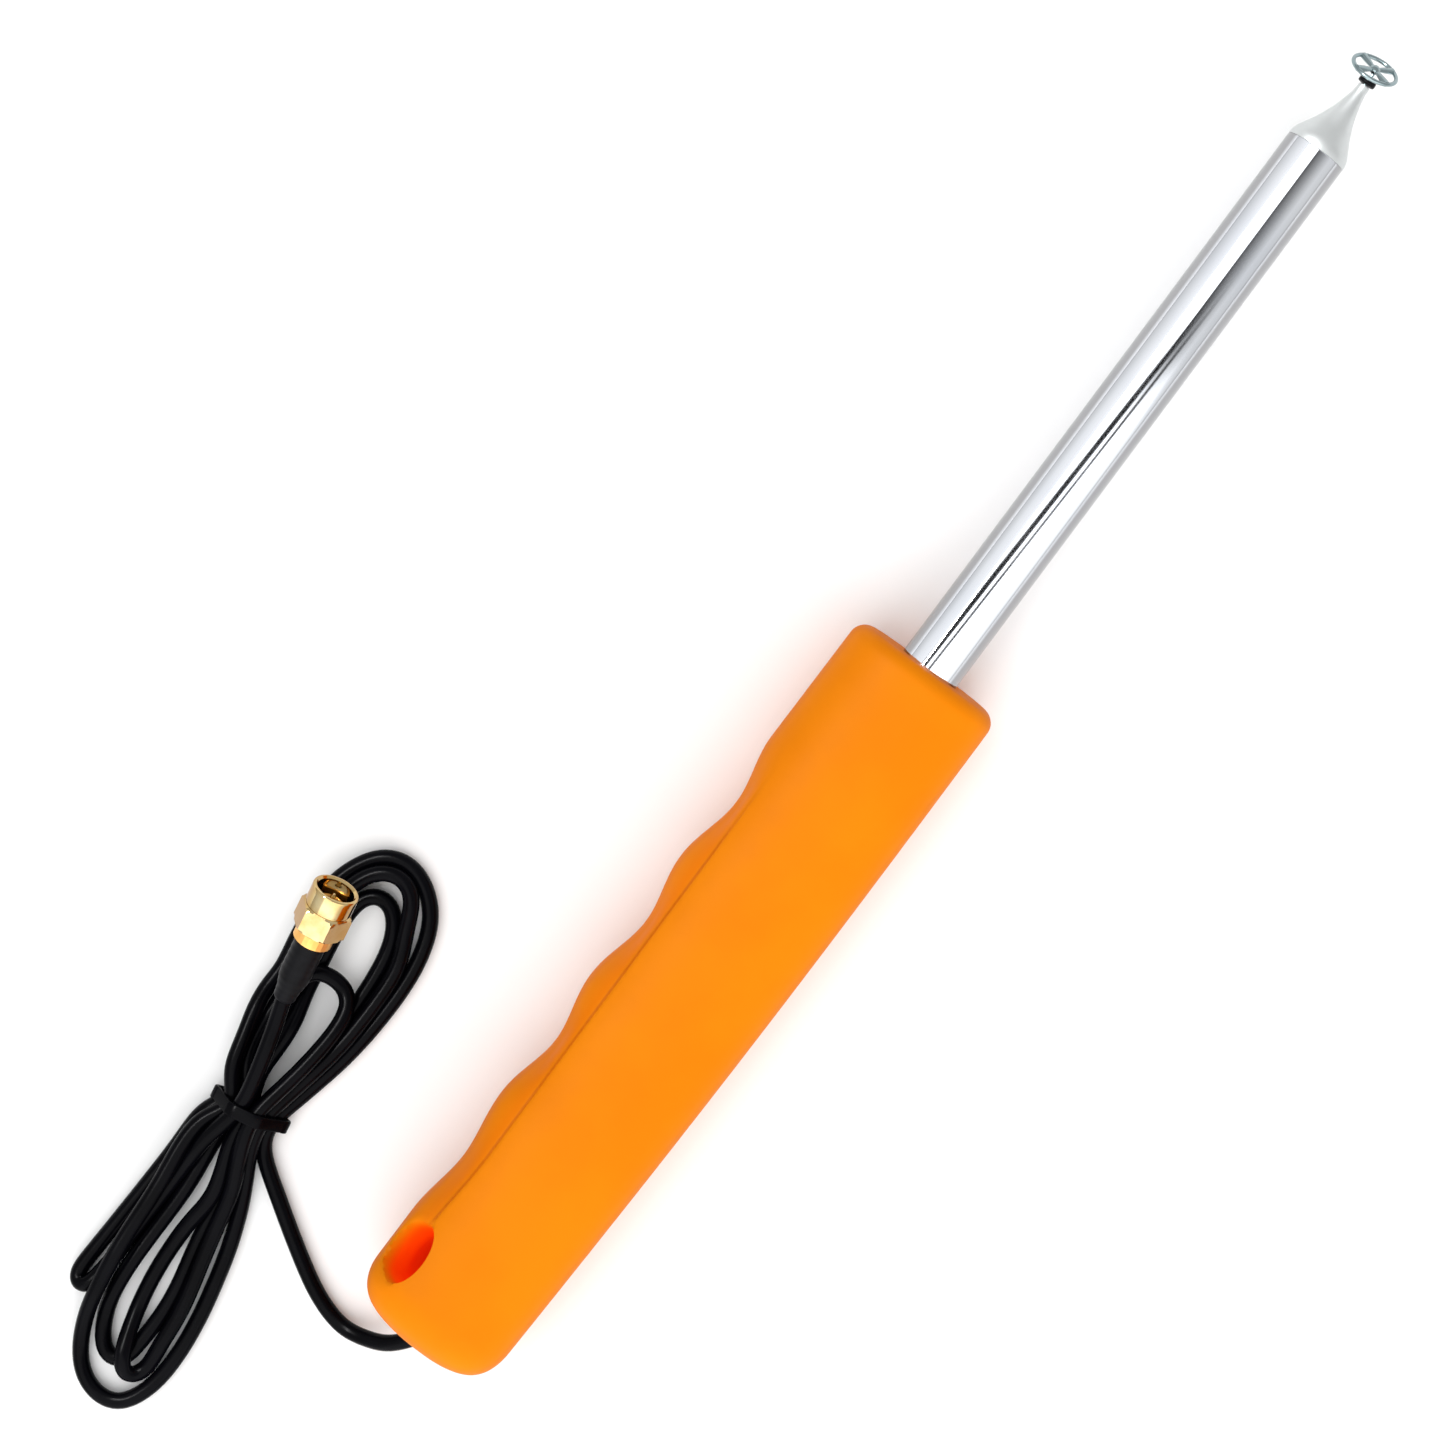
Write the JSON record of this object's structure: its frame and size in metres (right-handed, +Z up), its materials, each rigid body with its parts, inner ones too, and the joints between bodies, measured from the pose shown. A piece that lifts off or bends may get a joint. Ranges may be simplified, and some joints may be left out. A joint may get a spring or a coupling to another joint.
{
  "type": "pinpointer probe",
  "caption": "Hand-held pinpointer probe with a finger-grooved silicone grip, chrome mast, wire pickup wheel and a coax lead ending in a screw-on plug.",
  "frame": {"origin": "centre of the footprint of the probe without its lead, on the surface that the grip rests on", "axes": "+X along the mast towards the pickup wheel, +Y towards the finger grooves, +Z up out of the front face"},
  "size_m": [0.3012, 0.0728, 0.0242],
  "materials": {
    "grip_silicone": "satin orange silicone",
    "core_plastic": "fine moulded texture",
    "brass": "turned",
    "mast_chrome": "bright chrome plate",
    "nose_satin": "satin turned",
    "wheel_plate": "zinc plate",
    "black_polymer": "glossy black",
    "boot_sleeve": "satin heat-shrink",
    "screw_steel": "plated screws",
    "copper_wire": "bare copper",
    "white_polymer": "natural PTFE",
    "gold_plate": "polished gold plate"
  },
  "bodies": {
    "probe": {"grip_sleeve": "grip_silicone", "core_front": "core_plastic", "core_back": "core_plastic", "cable_clamp_bar": "core_plastic", "core_screw_1": "screw_steel", "core_screw_2": "screw_steel", "core_screw_3": "screw_steel", "clamp_screw_1": "screw_steel", "clamp_screw_2": "screw_steel", "grub_screw_1": "screw_steel", "grub_screw_2": "screw_steel", "mast_socket": "brass", "mast_tube": "mast_chrome", "nose_cone": "nose_satin", "tip_collar": "black_polymer", "tip_stem": "copper_wire", "pickup_wheel": "wheel_plate", "feed_coax_grip": "black_polymer", "feed_coax_mast": "black_polymer", "feed_wire": "copper_wire", "centring_bead_1": "white_polymer", "centring_bead_2": "white_polymer", "centring_bead_3": "white_polymer", "butt_grommet": "black_polymer", "lead_run": "black_polymer", "lead_hank": "black_polymer", "hank_tie": "black_polymer", "lead_tail": "black_polymer", "sma_body": "gold_plate", "sma_gasket": "black_polymer", "sma_dielectric": "white_polymer", "sma_center_pin": "gold_plate", "crimp_ferrule": "gold_plate", "heat_shrink_boot": "boot_sleeve"},
    "coupling_nut": {"sma_coupling_nut": "gold_plate"}
  },
  "joints": [
    {"name": "coupling_nut_spin", "type": "hinge", "parent": "probe", "child": "coupling_nut", "pos_m": [-0.0749, 0.05458, 0.01826], "axis": [0.9305, 0.1308, 0.342], "continuous": true}
  ]
}
